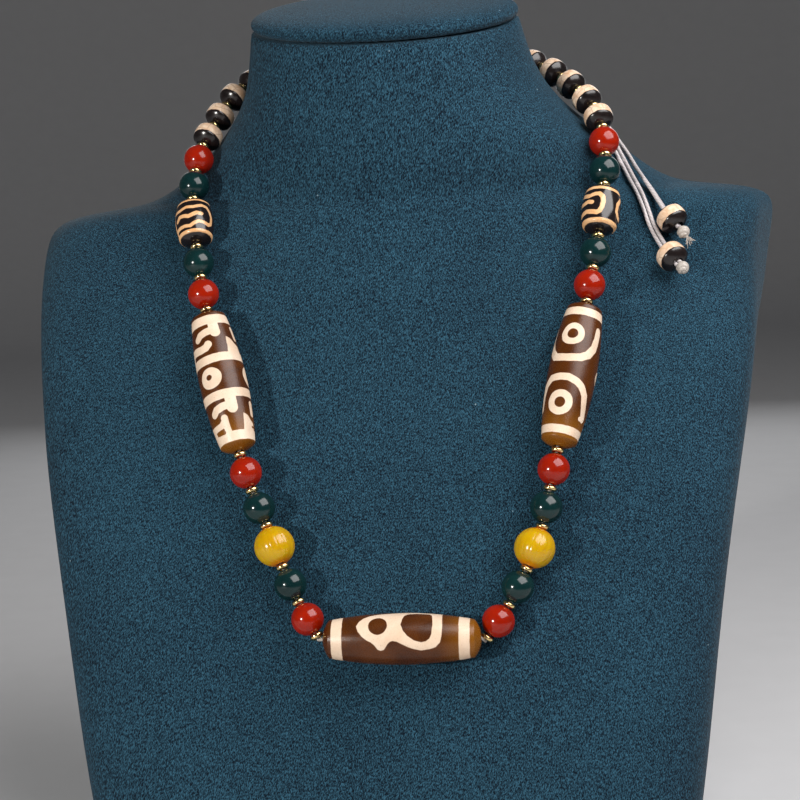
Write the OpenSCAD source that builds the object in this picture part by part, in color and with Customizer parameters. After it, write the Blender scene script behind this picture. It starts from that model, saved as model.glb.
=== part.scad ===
// Dzi bead necklace on a cloth-covered neck bust.
// Millimetres. The origin is the middle of the bust's flat base, +Z is up and -Y is the front.

/* [Bust] */
// Width across the shoulders, at their widest
shoulder_w = 200; // [190:1:210]
// Height of the neck's rim above the base, at the rim's middle
neck_rim_h = 214.4; // [204:0.2:224]
// Depth of the base from front to back
base_depth = 112; // [104:1:120]
// Forward slant of the neck's rim, in degrees
rim_slant = 14; // [8:0.5:20]
// Height of the padded cap at its middle
cap_h = 6.2; // [4:0.1:9]
// Width of the seam between neck and cap
seam = 0.3; // [0.1:0.05:0.6]

/* [Beads] */
// Diameter of the round red and green beads
round_d = 8; // [7.6:0.1:8.2]
// Diameter of the carved yellow beads
melon_d = 10; // [9:0.1:10.5]
// Number of grooves carved into a yellow bead
melon_lobes = 16; // [10:1:18]
// Length of a long dzi bead
long_dzi_len = 38.4; // [36:0.1:40]
// Thickness of the dzi bead at the bottom of the string
center_dzi_d = 12.4; // [11:0.1:13]
// Thickness of the two dzi beads at the sides
side_dzi_d = 12; // [11:0.1:12.6]
// Length of a drum dzi bead
drum_len = 13.5; // [12:0.1:14]
// Thickness of a drum dzi bead
drum_d = 10; // [9:0.1:11]
// Length of a striped bead
striped_len = 6.6; // [6:0.1:7]
// Thickness of a striped bead
striped_d = 7.7; // [7:0.1:8]

/* [String] */
// Diameter of the thread that all beads hang on
thread_d = 0.9; // [0.8:0.1:1.2]
// Diameter of the drilled hole in every bead
bore_d = 1.9; // [1.6:0.1:2.1]
// Diameter of a gold spacer ring
spacer_d = 3.4; // [3:0.1:4]
// Thickness of a gold spacer ring
spacer_t = 1.3; // [1.2:0.1:1.8]
// Clearance between a spacer and the bead beside it
spacer_gap = 0.22; // [0.1:0.01:0.3]
// Room between the lowest bead and the first red bead on each side, where the string bends
bend_gap = 3.05; // [2.8:0.05:3.4]
// Tilt of the lowest bead, in degrees, its right end lower
center_tilt = 1; // [-3:0.5:3]

/* [Tails] */
// Diameter of a tail cord
tail_cord_d = 1; // [0.8:0.1:1.1]
// Clearance between the two cords of a tail
tail_gap = 0.15; // [0.1:0.01:0.2]
// Turn of the first tail's two cords round each other, in degrees
tail_1_twist = 160; // [0:10:360]
// Turn of the second tail's two cords round each other, in degrees
tail_2_twist = 40; // [0:10:360]
// Diameter of the round end knot
ball_knot_d = 3.4; // [3:0.1:4]
// Length of the sliding knot at the nape
nape_knot_len = 17; // [14:0.5:18]
// Thickness of the sliding knot at the nape
nape_knot_d = 4.6; // [4:0.1:5.5]
// Number of wraps of the sliding knot
nape_knot_wraps = 10; // [6:1:12]

/* [Hidden] */

cloth = [0.11, 0.29, 0.38];
red = [0.72, 0.16, 0.07];
green = [0.05, 0.2, 0.2];
yellow = [0.86, 0.68, 0.06];
brown = [0.36, 0.2, 0.08];
black = [0.08, 0.06, 0.05];
gold = [0.85, 0.74, 0.5];
cord_grey = [0.78, 0.78, 0.76];

// Columns of the bust's table of horizontal sections
LEVEL = 0;    // height of the section
HALF = 1;     // half of its width
FRONT = 2;    // y of its front
BACK = 3;     // y of its back
SQUARE = 4;   // 2 is an ellipse, and more is squarer
FLARE = 5;    // how much wider it is at the back than at mid-depth
MIDDLE = 6;   // x of its middle
THROAT = 7;   // how far the throat stands forward of it
sections = [
    [0,     74,   -56,   56,   7,   0,    -0.5, 0],
    [25,    79,   -49.5, 57,   7,   0,    -1,   0],
    [50,    82.5, -42,   58,   7,   0,    -1,   0],
    [75,    86.5, -33,   59,   7,   0,    -1,   0],
    [100,   91.5, -23,   60,   7,   0.01, -0.5, 0],
    [125,   96.5, -11,   61,   7,   0.03, 0.5,  3],
    [140,   99,   -3,    61.5, 6.5, 0.06, 0.5,  7],
    [150,   99.5, 2.5,   62,   6,   0.08, 0.5,  9.5],
    [158,   100,  7.5,   62.5, 5.2, 0.08, 2,    12.5],
    [164.5, 99,   10.5,  62.5, 4.6, 0.08, 3.5,  14],
    [167,   91.5, 12.5,  62.5, 4,   0.07, 4,    15.5],
    [168.2, 80.5, 13,    62.5, 3.6, 0.06, 4,    15.5],
    [169.7, 70.5, 12.5,  62.5, 3.3, 0.09, 4.5,  15],
    [175.5, 61.5, 9,     62,   2.9, 0.13, 5,    12],
    [182.5, 53.5, 3.5,   60.5, 2.6, 0.14, 5,    6.5],
    [189,   46,   -1,    57.5, 2.4, 0.13, 3.5,  2],
    [197,   40,   -2.5,  55,   2.2, 0.08, 2.5,  0],
    [206,   37.5, -2.5,  54,   2.1, 0.03, 1.5,  0],
    [214.4, 36,   -2.2,  54,   2,   0,    1,    0]
];
section_points = 84;
throat_half_w = 62;
slant_from = 180;
rim_level = sections[len(sections) - 1][LEVEL];

// Scales from the table's bust to the chosen one
table_w = 200;
table_depth = 112;
wide_k = shoulder_w / table_w;
high_k = neck_rim_h / rim_level;
deep_k = base_depth / table_depth;

// The cap's rings, from its seam up
RISE = 0;     // share of the cap's height
SPREAD = 1;   // share of the neck's rim
cap_rings = [
    [0, 0.965], [0.16, 0.995], [0.34, 1], [0.5, 0.985], [0.66, 0.94], [0.82, 0.82], [0.94, 0.58], [1, 0.25]
];

// Middle of the lowest bead
center_at = [4.2, -44, 63.6];

// Line of the string on each side, from beside the lowest bead up to behind the neck
string_right = [
    [25.5, -41.4, 63.8], [29.6, -40.2, 69.5], [34, -37.8, 77.3], [38.3, -33.8, 86.5], [42.7, -28.6, 104.4],
    [51.4, -10.5, 139.5], [55.1, -0.8, 155.3], [57.3, 7.2, 168.2], [58.2, 16.5, 180.5], [56.1, 25, 189.2],
    [48.3, 36.6, 198], [37.5, 48, 204], [23, 56.5, 205.5]
];
string_left = [
    [-16.9, -42.3, 65], [-21, -39.5, 72], [-25, -36.5, 80.5], [-29, -32.5, 90], [-35.5, -27, 107],
    [-45, -10.2, 142], [-48.6, 0, 158], [-50.5, 9, 170.5], [-50.2, 18.4, 181], [-47, 28, 190], [-40.5, 39, 200],
    [-29.5, 50.5, 204.5], [-14, 57.5, 205.5]
];
nape = [4.5, 60, 206];
route_steps = 8;

// Middle lines of the two tails, from the nape knot over the right shoulder, the last two points in the bead
tail_1_route = [
  [2, 62.3, 204.3], [8, 64.3, 202.8], [17, 64.5, 202.8],
  [28, 62.7, 203.8], [38.5, 57.3, 203.3], [45.3, 51.7, 200.6],
  [50.4, 45.7, 196.6], [54.6, 40, 192], [58, 34.5, 187],
  [61, 31, 182], [64, 28, 177.8], [66.5, 23, 173.3],
  [69.3, 16.5, 168.6], [71.3, 12.4, 165], [73, 9.1, 161.8],
  [76.2, 5.1, 157.6]
];
tail_2_route = [
  [8.5, 62.5, 205.3], [13.5, 64, 205.8], [20, 63.3, 206],
  [28.5, 60.3, 205.5], [37, 55.2, 204.2], [43.7, 49.8, 201.4],
  [48.9, 43.9, 197.6], [53.2, 38.1, 193.3], [56.7, 32.3, 188.4],
  [59, 27.5, 183.5], [61, 25.5, 179.5], [63, 23, 175.2],
  [64.9, 19.3, 170.9], [67.3, 12.4, 165.4], [69.6, 8.8, 158],
  [72.5, 3.6, 152], [75.4, -1.3, 148.6]
];
tail_rings = 24;

// Shape of the barrel beads: thickness of an end as a share of the middle's, and radius of the domed ends
long_end_k = 0.68;
long_dome_r = 7;
drum_end_k = 0.74;
drum_dome_r = 6.4;
striped_end_k = 0.8;
striped_dome_r = 4.8;

// Carved beads: length, groove's depth and its fading near the hole as shares of the thickness, and latitude
// of the end rings
melon_len_k = 0.95;
melon_groove_k = 0.02;
melon_groove_power = 0.6;
melon_fade_k = 0.25;
melon_end_lat = 70;
melon_rings = 9;
points_per_lobe = 3;
melon_points = points_per_lobe * melon_lobes;

// Play of the cords in a tail's bead, and small clearances before its knot
tail_play = 0.75;
knot_clear = 0.3;
touch_gap = 0.1;
nape_knot_play = 0.4;
thread_lead = 0.4;

bead_facets = 48;
arc_facets = 192;
fine_facets = 32;
cord_sides = 8;
small = 0.01;
cut_past = 1;

// Value of one column of the bust's table at a level
function section_at(level, column) = lookup(level, [for (row = sections) [row[LEVEL], row[column]]]);

// Power that keeps the sign
function signed_pow(v, p) = sign(v) * pow(abs(v), p);

// Exponent of a section's width, from that of its depth
function across_exponent(square) = 2 + (square - 2) / 5;

// Point of the bust's skin at an angle round its section, 270 being the front, and a level
function skin(angle, level) =
    let (
        half = section_at(level, HALF),
        front = section_at(level, FRONT),
        back = section_at(level, BACK),
        square = section_at(level, SQUARE),
        deep = signed_pow(sin(angle), 2 / square),
        mid_y = (front + back) / 2,
        half_y = (back - front) / 2,
        flare = 1 + section_at(level, FLARE) * deep,
        x = half * signed_pow(cos(angle), 2 / across_exponent(square)) * flare,
        swell = deep < 0 ? pow(max(0, 1 - pow(x / throat_half_w, 2)), 2) : 0,
        y = mid_y + half_y * deep - section_at(level, THROAT) * swell,
        slanted = max(0, (level - slant_from) / (rim_level - slant_from))
    )
    [
        wide_k * (x + section_at(level, MIDDLE)),
        deep_k * y,
        high_k * level + deep_k * tan(rim_slant) * slanted * half_y * deep
    ];

// Angle of point k of a section, halfway between even turns and even spacing
function spread_angle(k, square) =
    let (
        even_turn = k * 360 / section_points,
        c = signed_pow(cos(even_turn), across_exponent(square) / 2),
        s = signed_pow(sin(even_turn), square / 2),
        even_space = (atan2(s, c) + 360) % 360
    )
    (even_turn + even_space) / 2;

function section_ring(level) =
    [for (k = [0 : section_points - 1]) skin(spread_angle(k, section_at(level, SQUARE)), level)];

// Catmull-Rom point between b and c
function bend(a, b, c, d, t) =
    0.5 * ((2 * b) + (c - a) * t + (2 * a - 5 * b + 4 * c - d) * t * t + (3 * b - a - 3 * c + d) * t * t * t);

// Smooth open line through points
function smooth_line(points, steps) =
    let (n = len(points))
    [
        for (i = [0 : n - 2], k = [0 : steps - 1])
            bend(points[max(0, i - 1)], points[i], points[i + 1], points[min(n - 1, i + 2)], k / steps),
        points[n - 1]
    ];

// Running length along a line, one value per point
function running(line) = [for (i = 0, s = 0; i < len(line); i = i + 1,
    s = i < len(line) ? s + norm(line[i] - line[i - 1]) : s) s];

// Point of a line at a length along it
function along(line, lengths, s) = [
    for (axis = [0 : 2]) lookup(s, [for (i = [0 : len(line) - 1]) [lengths[i], line[i][axis]]])
];

// A point beside the bust, moved with the bust's size
function hung(p) = [p[0] * wide_k, p[1] * deep_k, p[2] * high_k];

// End of the lowest bead on a side, 1 being the right
function center_end(side) =
    hung(center_at) + side * long_dzi_len / 2 * [cos(center_tilt), 0, -sin(center_tilt)];

// The string's line on a side: straight in the lowest bead, then smooth up to the nape
function side_line(side, points) =
    let (hung_points = [for (p = points) hung(p)])
    [hung(center_at), each smooth_line([center_end(side), each hung_points, hung(nape)], route_steps)];

string_line_right = side_line(1, string_right);
string_line_left = side_line(-1, string_left);
lengths_right = running(string_line_right);
lengths_left = running(string_line_left);

function string_line(side) = side > 0 ? string_line_right : string_line_left;
function string_lengths(side) = side > 0 ? lengths_right : lengths_left;
function string_total(side) = string_lengths(side)[len(string_lengths(side)) - 1];

// Real length of a drilled ball along its hole
function drilled_len(d, bore) = sqrt(d * d - bore * bore);
round_len = drilled_len(round_d, bore_d);
melon_len = melon_len_k * melon_d;

// Beads of one side, from the lowest bead up to the last one that the photograph shows
side_lens = [
    round_len, round_len, melon_len, round_len, round_len, long_dzi_len, round_len, round_len, drum_len,
    round_len, round_len
];
spacer_pitch = spacer_t + 2 * spacer_gap;

// Length along the string where bead number i of a side begins, striped beads following the others
function bead_start(i) = i == 0
    ? long_dzi_len / 2 + bend_gap
    : bead_start(i - 1) + bead_len(i - 1) + spacer_pitch;
function bead_len(i) = i < len(side_lens) ? side_lens[i] : striped_len;

first_striped = len(side_lens);
function knot_at(side) = string_total(side) - nape_knot_len / 2;
function bead_count(side) = first_striped
    + floor((knot_at(side) - bead_start(first_striped)) / (striped_len + spacer_pitch));
shown_striped_left = 3;
shown_striped_right = 4;

// Point of the string at a length from the lowest bead's middle
function string_point(side, s) = along(string_line(side), string_lengths(side), s);
function bead_ends(side, i) = [
    string_point(side, bead_start(i)),
    string_point(side, bead_start(i) + bead_len(i))
];

// Puts a child, whose axis is Z, at the middle between two points, turned along them
module between(a, b) {
    d = b - a;
    translate((a + b) / 2)
        rotate([0, acos(d[2] / norm(d)), atan2(d[1], d[0])])
            children();
}

module on_string(side, i) {
    ends = bead_ends(side, i);
    between(ends[0], ends[1]) children();
}

// Closed solid through rings of equal point count
module loft(rings) {
    n = len(rings[0]);
    last = len(rings) - 1;
    polyhedron(
        points = [for (ring = rings, p = ring) p],
        faces = [
            [for (k = [0 : n - 1]) k],
            [for (k = [n - 1 : -1 : 0]) last * n + k],
            for (j = [0 : last - 1], k = [0 : n - 1], half = [0, 1])
                let (q = (k + 1) % n)
                half == 0
                    ? [j * n + k, (j + 1) * n + k, (j + 1) * n + q]
                    : [j * n + k, (j + 1) * n + q, j * n + q]
        ],
        convexity = 6
    );
}

// Closed ring of rings, for a body with a hole through it
module ring_loft(rings) {
    n = len(rings[0]);
    count = len(rings);
    polyhedron(
        points = [for (ring = rings, p = ring) p],
        faces = [
            for (j = [0 : count - 1], k = [0 : n - 1], half = [0, 1])
                let (m = (j + 1) % count, q = (k + 1) % n)
                half == 0
                    ? [j * n + k, m * n + k, m * n + q]
                    : [j * n + k, m * n + q, j * n + q]
        ],
        convexity = 8
    );
}

// Direction of a line at one of its points
function heading(line, i, closed) =
    let (
        n = len(line),
        a = closed ? line[(i + n - 1) % n] : line[max(0, i - 1)],
        b = closed ? line[(i + 1) % n] : line[min(n - 1, i + 1)]
    )
    (b - a) / norm(b - a);

// Ring of points round a line's point, square to its heading
function tube_ring(p, along_dir, d, sides) =
    let (
        guess = abs(along_dir[2]) > 0.9 ? [1, 0, 0] : [0, 0, 1],
        u = cross(along_dir, guess) / norm(cross(along_dir, guess)),
        v = cross(along_dir, u)
    )
    [for (k = [0 : sides - 1]) p + d / 2 * (u * cos(-k * 360 / sides) + v * sin(-k * 360 / sides))];

function tube_rings(line, d, sides, closed = false) =
    [for (i = [0 : len(line) - 1]) tube_ring(line[i], heading(line, i, closed), d, sides)];

// Drilled hole along Z
module bore(len, d = bore_d) {
    cylinder(h = len + 2 * cut_past, d = d, center = true, $fn = bead_facets);
}

module round_bead() {
    difference() {
        sphere(d = round_d, $fn = bead_facets);
        bore(round_d);
    }
}

// Everything below the top of a dome that is centred on the axis
module under_dome(len, d, dome_r) {
    union() {
        translate([0, len / 2 - dome_r]) circle(r = dome_r, $fn = arc_facets);
        translate([-d, -len]) square([2 * d, len + len / 2 - dome_r]);
    }
}

// Barrel with curved sides and domed ends, drilled along Z
module barrel(len, d, end_d, dome_r) {
    sag = (d - end_d) / 2;
    side_r = (len * len / 4 + sag * sag) / (2 * sag);
    difference() {
        rotate_extrude($fn = bead_facets)
            intersection() {
                translate([0, -len / 2]) square([d, len]);
                translate([d / 2 - side_r, 0]) circle(r = side_r, $fn = arc_facets);
                under_dome(len, d, dome_r);
                mirror([0, 1]) under_dome(len, d, dome_r);
            }
        bore(len);
    }
}

module long_dzi(d) {
    barrel(long_dzi_len, d, long_end_k * d, long_dome_r);
}

module drum_dzi() {
    barrel(drum_len, drum_d, drum_end_k * drum_d, drum_dome_r);
}

module striped_bead() {
    barrel(striped_len, striped_d, striped_end_k * striped_d, striped_dome_r);
}

// Ring with a rounded rim, drilled along Z
module spacer() {
    rim_r = spacer_t / 2;
    rotate_extrude($fn = fine_facets)
        union() {
            translate([bore_d / 2, -rim_r]) square([spacer_d / 2 - rim_r - bore_d / 2, spacer_t]);
            intersection() {
                translate([spacer_d / 2 - rim_r, 0]) circle(r = rim_r, $fn = fine_facets);
                translate([spacer_d / 2 - rim_r - small, -rim_r]) square([rim_r + small, spacer_t]);
            }
        }
}

// Radius of a carved bead at a height and an angle, grooves running from hole to hole
function melon_r(z, angle) =
    let (
        full = sqrt(max(0, pow(melon_d / 2, 2) - z * z)),
        groove = melon_groove_k * melon_d * (1 - pow(abs(cos(angle * melon_lobes / 2)), melon_groove_power)),
        fade = min(1, (full - bore_d / 2) / (melon_fade_k * melon_d))
    )
    full - groove * fade;

module melon_bead() {
    angles = [for (k = [0 : melon_points - 1]) k * 360 / melon_points];
    latitudes = [for (k = [0 : melon_rings - 1]) melon_end_lat * (2 * k / (melon_rings - 1) - 1)];
    heights = [for (a = latitudes) melon_len / 2 * sin(a) / sin(melon_end_lat)];
    bore_r = bore_d / 2;
    bore_rings = [
        for (z = [melon_len / 2, -melon_len / 2])
            [for (a = angles) [bore_r * cos(a), bore_r * sin(a), z]]
    ];
    skin_rings = [
        for (z = heights)
            [for (a = angles) [melon_r(z, a) * cos(a), melon_r(z, a) * sin(a), z]]
    ];
    ring_loft([each bore_rings, each skin_rings]);
}

// Both ends of spacer number i of a side, the first one set square to the first bead
function spacer_ends(side, i) =
    let (
        first = bead_ends(side, 0),
        ahead = (first[1] - first[0]) / norm(first[1] - first[0]),
        s = bead_start(i) - spacer_gap - spacer_t
    )
    i == 0
        ? [first[0] - ahead * (spacer_gap + spacer_t), first[0] - ahead * spacer_gap]
        : [string_point(side, s), string_point(side, s + spacer_t)];

module spacers(side) {
    color(gold)
        for (i = [0 : bead_count(side)])
            let (ends = spacer_ends(side, i))
            between(ends[0], ends[1]) spacer();
}

module striped(side, number) {
    color(black) on_string(side, first_striped + number - 1) striped_bead();
}

// The striped beads behind the neck
module striped_nape() {
    color(black) {
        for (i = [first_striped + shown_striped_left : bead_count(-1) - 1])
            on_string(-1, i) striped_bead();
        for (i = [first_striped + shown_striped_right : bead_count(1) - 1])
            on_string(1, i) striped_bead();
    }
}

// Point just outside the first spacer of a side, where the thread turns into it
function thread_entry(side) =
    let (ends = spacer_ends(side, 0), d = ends[1] - ends[0])
    ends[0] - d / norm(d) * thread_lead;

// The thread runs straight through every bead and the knot
function knot_end(side) = string_point(side, knot_at(side));
function thread_half(side) = [
    center_end(side),
    thread_entry(side),
    for (i = [0 : bead_count(side) - 1], e = bead_ends(side, i)) e,
    knot_end(side)
];
function reversed(list) = [for (i = [len(list) - 1 : -1 : 0]) list[i]];

module thread() {
    line = [each thread_half(1), each reversed(thread_half(-1))];
    color(cord_grey) ring_loft(tube_rings(line, thread_d, cord_sides, true));
}

// Sliding knot at the nape: plain wraps round the thread
module nape_knot() {
    wrap_d = nape_knot_len / nape_knot_wraps;
    wrap_at = (nape_knot_d - wrap_d) / 2;
    core_len = nape_knot_len - wrap_d;
    color(cord_grey)
        between(knot_end(-1), knot_end(1))
            difference() {
                rotate_extrude($fn = fine_facets)
                    union() {
                        translate([0, -core_len / 2]) square([wrap_at, core_len]);
                        for (k = [0 : nape_knot_wraps - 1])
                            translate([wrap_at, -nape_knot_len / 2 + wrap_d * (k + 0.5)])
                                circle(d = wrap_d + 2 * small, $fn = fine_facets);
                    }
                bore(nape_knot_len, bore_d + nape_knot_play);
            }
}

module bust_body() {
    color(cloth) loft([for (row = sections) section_ring(row[LEVEL])]);
}

// Padded cap, lying on the neck's slanted rim with a seam round it
module bust_cap() {
    rim = section_ring(rim_level);
    middle = (rim[0] + rim[section_points / 2]) / 2;
    up = [0, -sin(rim_slant), cos(rim_slant)];
    color(cloth)
        loft([
            for (r = cap_rings)
                [for (p = rim) middle + (p - middle) * r[SPREAD] + up * (seam + cap_h * r[RISE])]
        ]);
}

// A tail's bead begins at the last point but one of its route, and points to the last one
function tail_bead_start(route) = hung(route[len(route) - 2]);
function tail_dir(route) =
    let (d = hung(route[len(route) - 1]) - tail_bead_start(route))
    d / norm(d);
function tail_point(route, s) = tail_bead_start(route) + tail_dir(route) * s;

// One cord of a tail: side is 1 or -1, and the two cords turn round each other along the route
module tail_strand(route, side, twist) {
    laid = [for (i = [0 : len(route) - 2]) hung(route[i])];
    line = [each smooth_line(laid, route_steps), tail_point(route, striped_len + knot_clear)];
    lengths = running(line);
    reach = lengths[len(lengths) - 1];
    middles = [for (k = [0 : tail_rings - 1]) along(line, lengths, k * reach / (tail_rings - 1))];
    out = side * (tail_cord_d + tail_gap) / 2;
    cord = [
        for (k = [0 : tail_rings - 1])
            let (
                ahead = heading(middles, k, false),
                across = cross(ahead, [0, 0, 1]) / norm(cross(ahead, [0, 0, 1])),
                turn = twist * k / (tail_rings - 1)
            )
            middles[k] + out * (across * cos(turn) + cross(ahead, across) * sin(turn))
    ];
    color(cord_grey) loft(tube_rings(cord, tail_cord_d, cord_sides));
}

module tail_bead(route) {
    color(black)
        between(tail_point(route, 0), tail_point(route, striped_len))
            difference() {
                striped_bead();
                bore(striped_len, 2 * tail_cord_d + tail_gap + tail_play);
            }
}

module tail_knot(route) {
    color(cord_grey)
        translate(tail_point(route, striped_len + knot_clear + touch_gap + ball_knot_d / 2))
            sphere(d = ball_knot_d, $fn = fine_facets);
}

bust_body();
bust_cap();
color(brown) between(center_end(-1), center_end(1)) long_dzi(center_dzi_d);  // center_dzi
color(brown) on_string(-1, 5) long_dzi(side_dzi_d);  // long_dzi_left
color(brown) on_string(1, 5) long_dzi(side_dzi_d);  // long_dzi_right
color(black) on_string(-1, 8) drum_dzi();  // drum_dzi_left
color(black) on_string(1, 8) drum_dzi();  // drum_dzi_right
color(red) on_string(-1, 0) round_bead();  // red_left_1
color(red) on_string(-1, 4) round_bead();  // red_left_2
color(red) on_string(-1, 6) round_bead();  // red_left_3
color(red) on_string(-1, 10) round_bead();  // red_left_4
color(red) on_string(1, 0) round_bead();  // red_right_1
color(red) on_string(1, 4) round_bead();  // red_right_2
color(red) on_string(1, 6) round_bead();  // red_right_3
color(red) on_string(1, 10) round_bead();  // red_right_4
color(green) on_string(-1, 1) round_bead();  // green_left_1
color(green) on_string(-1, 3) round_bead();  // green_left_2
color(green) on_string(-1, 7) round_bead();  // green_left_3
color(green) on_string(-1, 9) round_bead();  // green_left_4
color(green) on_string(1, 1) round_bead();  // green_right_1
color(green) on_string(1, 3) round_bead();  // green_right_2
color(green) on_string(1, 7) round_bead();  // green_right_3
color(green) on_string(1, 9) round_bead();  // green_right_4
color(yellow) on_string(-1, 2) melon_bead();  // yellow_left
color(yellow) on_string(1, 2) melon_bead();  // yellow_right
striped(-1, 1);  // striped_left_1
striped(-1, 2);  // striped_left_2
striped(-1, 3);  // striped_left_3
striped(1, 1);  // striped_right_1
striped(1, 2);  // striped_right_2
striped(1, 3);  // striped_right_3
striped(1, 4);  // striped_right_4
striped_nape();
spacers(-1);  // spacers_left
spacers(1);  // spacers_right
thread();
nape_knot();
tail_strand(tail_1_route, 1, tail_1_twist);  // tail_cord_1a
tail_strand(tail_1_route, -1, tail_1_twist);  // tail_cord_1b
tail_strand(tail_2_route, 1, tail_2_twist);  // tail_cord_2a
tail_strand(tail_2_route, -1, tail_2_twist);  // tail_cord_2b
tail_bead(tail_1_route);  // tail_bead_1
tail_bead(tail_2_route);  // tail_bead_2
tail_knot(tail_1_route);  // tail_knot_1
tail_knot(tail_2_route);  // tail_knot_2
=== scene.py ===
import math

import bmesh
import bpy
import numpy as np
from mathutils import Matrix, Vector


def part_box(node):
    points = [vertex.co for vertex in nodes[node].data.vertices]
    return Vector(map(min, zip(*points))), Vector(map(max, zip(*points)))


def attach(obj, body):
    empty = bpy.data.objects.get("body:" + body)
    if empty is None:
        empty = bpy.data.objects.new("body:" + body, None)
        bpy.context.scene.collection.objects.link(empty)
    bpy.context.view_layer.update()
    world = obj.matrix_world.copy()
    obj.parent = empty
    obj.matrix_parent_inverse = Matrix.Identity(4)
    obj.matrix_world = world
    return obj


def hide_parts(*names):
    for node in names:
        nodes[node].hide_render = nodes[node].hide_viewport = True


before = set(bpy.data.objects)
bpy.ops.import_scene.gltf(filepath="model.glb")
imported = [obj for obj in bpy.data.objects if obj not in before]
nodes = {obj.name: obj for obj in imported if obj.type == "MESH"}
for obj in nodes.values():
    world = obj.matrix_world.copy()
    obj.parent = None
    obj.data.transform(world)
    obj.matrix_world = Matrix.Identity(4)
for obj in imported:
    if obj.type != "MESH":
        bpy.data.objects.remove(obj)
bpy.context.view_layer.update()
mm = 0.001


# camera: the photograph's view, as measured on the bust
photoView = {
    "lens": 83.25,             # for a 36 mm sensor
    "aim": (0.004, -0.016, 0.118),
    "distance": 0.466,
    "down": 7.0,               # degrees
    "turn": 5.0,
    "roll": 2.7,
}


def makeCamera(view):
    down, turn, roll = (math.radians(view[k]) for k in ("down", "turn", "roll"))
    ahead = Vector((-math.sin(turn) * math.cos(down), math.cos(turn) * math.cos(down), -math.sin(down)))
    level = Vector((math.cos(turn), math.sin(turn), 0))
    above = level.cross(ahead)
    across = level * math.cos(roll) - above * math.sin(roll)
    upward = level * math.sin(roll) + above * math.cos(roll)
    data = bpy.data.cameras.new("photoCamera")
    data.lens = view["lens"]
    data.sensor_width = 36
    data.clip_start = 0.01
    camera = bpy.data.objects.new("photoCamera", data)
    bpy.context.scene.collection.objects.link(camera)
    turned = Matrix((across, upward, -ahead)).transposed().to_4x4()
    place = Vector(view["aim"]) - ahead * view["distance"]
    camera.matrix_world = Matrix.Translation(place) @ turned
    bpy.context.scene.camera = camera
    return place, across, upward, -ahead


cameraAt, cameraRight, cameraUp, cameraBack = makeCamera(photoView)
print("stage: camera placed")


# small tools for meshes

def linkPiece(name, mesh, material, replaced):
    piece = bpy.data.objects.new(name, mesh)
    bpy.context.scene.collection.objects.link(piece)
    mesh.materials.clear()
    mesh.materials.append(material)
    mesh.polygons.foreach_set("use_smooth", [True] * len(mesh.polygons))
    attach(piece, "root")
    if replaced:
        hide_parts(*replaced)
    return piece


def pointsOf(mesh):
    co = np.zeros(len(mesh.vertices) * 3)
    mesh.vertices.foreach_get("co", co)
    return co.reshape(-1, 3)


def setPoints(mesh, co):
    mesh.vertices.foreach_set("co", co.ravel())
    mesh.update()


def addValue(mesh, name, values):
    layer = mesh.attributes.new(name, "FLOAT", "POINT")
    layer.data.foreach_set("value", np.asarray(values, np.float32))


def solidsOf(node):
    # middle and hole axis of each separate solid in a CAD node
    bm = bmesh.new()
    bm.from_mesh(nodes[node].data)
    bmesh.ops.remove_doubles(bm, verts=bm.verts, dist=1e-6)
    seen = set()
    found = []
    for first in bm.faces:
        if first in seen:
            continue
        seen.add(first)
        queue = [first]
        island = []
        while queue:
            face = queue.pop()
            island.append(face)
            for edge in face.edges:
                for other in edge.link_faces:
                    if other not in seen:
                        seen.add(other)
                        queue.append(other)
        co = np.array([v.co for f in island for v in f.verts])
        middle = Vector((co.min(0) + co.max(0)) / 2)
        spread = np.zeros((3, 3))
        for face in island:
            if face.normal.dot(face.calc_center_median() - middle) < 0:  # a wall of the drilled hole
                n = np.array(face.normal)
                spread += face.calc_area() * np.outer(n, n)
        axis = Vector(np.linalg.eigh(spread)[1][:, 0])
        found.append((middle, axis))
    bm.free()
    return found


def facingMatrix(middle, axis, towards):
    # a bead's own X faces the camera, and its first tip points towards the given side
    if axis.dot(towards) < 0:
        axis = -axis
    face = cameraAt - middle
    face = (face - axis * face.dot(axis)).normalized()
    side = axis.cross(face)
    turned = Matrix((face, side, axis)).transposed().to_4x4()
    return Matrix.Translation(middle) @ turned


leastWall = 0.02               # millimetres between the hole's edge and the next ring of a bead


def barrelRadius(z, size):
    half, sag = size["length"] / 2, (size["thick"] - size["end"]) / 2
    sideR = (half * half + sag * sag) / (2 * sag)
    r = math.sqrt(sideR * sideR - z * z) - sideR + size["thick"] / 2
    past = abs(z) - (half - size["dome"])
    if past > 0:
        r = min(r, math.sqrt(max(0, size["dome"] ** 2 - past * past)))
    return r


def barrelOutline(size):
    rings, hole = size["rings"], size["hole"] / 2
    top = size["length"] / 2 - size["dome"] + math.sqrt(size["dome"] ** 2 - hole * hole)
    outline = [(hole, top)]
    for k in range(1, rings):
        t = math.pi * k / rings
        z = top * math.cos(t)
        if "even" in size:  # a patterned bead has its rings spaced more evenly
            z = top * ((1 - size["even"]) * math.cos(t) + size["even"] * (1 - 2 * k / rings))
        outline.append((max(hole + leastWall, barrelRadius(z, size)), z))
    outline.append((hole, -top))
    return outline


def ballOutline(size):
    rings, hole, r = size["rings"], size["hole"] / 2, size["thick"] / 2
    start = math.asin(hole / r)
    if "length" in size:
        start = math.acos(min(1, size["length"] / 2 / r))
    outline = []
    for k in range(rings + 1):
        t = start + (math.pi - 2 * start) * k / rings
        outline.append((r * math.sin(t), r * math.cos(t)))
    if "length" in size:
        outline = [(hole, size["length"] / 2)] + outline + [(hole, -size["length"] / 2)]
    return outline


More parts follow.
